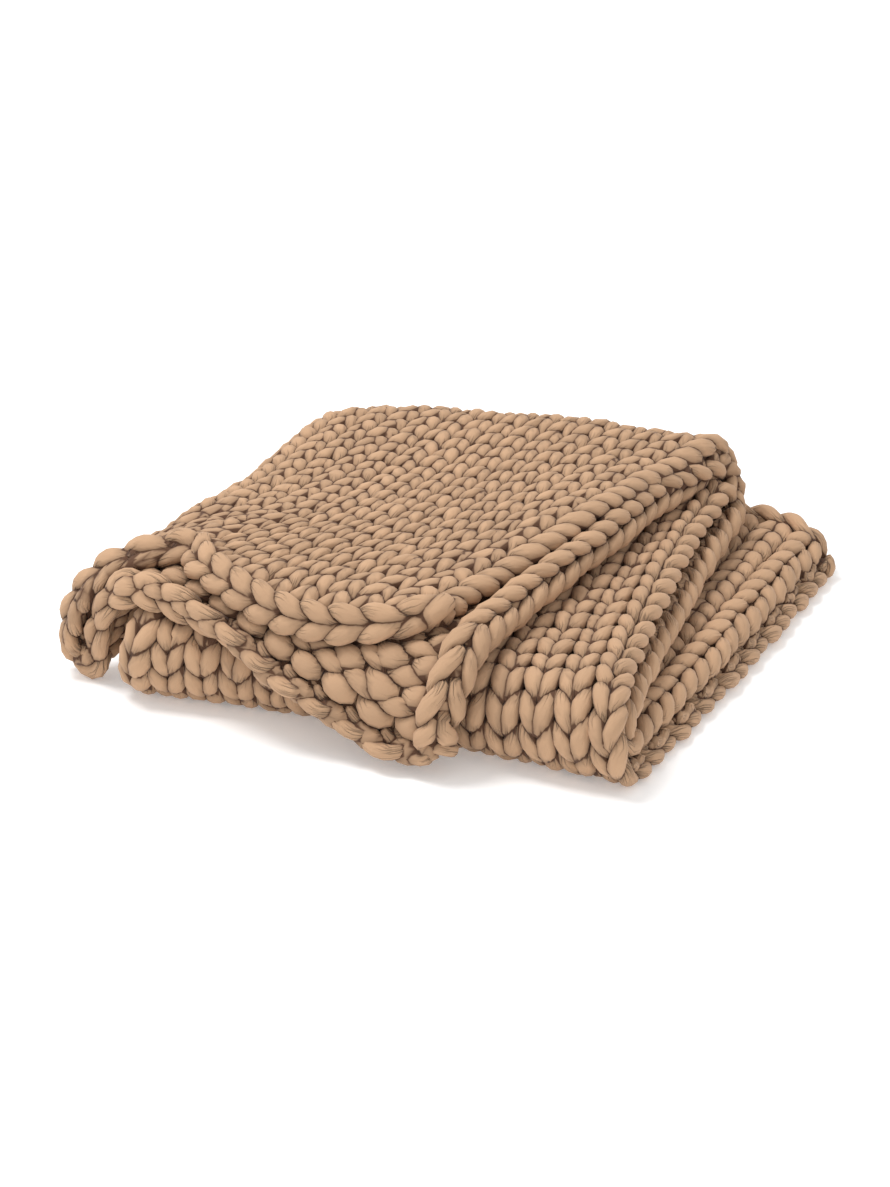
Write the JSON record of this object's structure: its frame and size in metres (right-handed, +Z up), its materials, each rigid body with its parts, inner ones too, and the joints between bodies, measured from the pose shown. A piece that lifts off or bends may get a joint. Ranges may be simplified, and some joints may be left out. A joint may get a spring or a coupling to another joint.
{
  "type": "weighted blanket",
  "caption": "Chunky hand-knitted weighted blanket, folded lengthwise and laid back and forth in layers, its bound-off end hanging over the front fold.",
  "frame": {"origin": "middle of the bounding box in plan, on the surface the blanket lies on", "axes": "+X along the front fold towards the fanned selvedges, +Y from the front fold towards the back fold, +Z up"},
  "size_m": [0.8794, 0.8012, 0.2075],
  "materials": {
    "jersey_tube": "matte"
  },
  "bodies": {
    "root": {"blanket": "jersey_tube"}
  },
  "joints": []
}
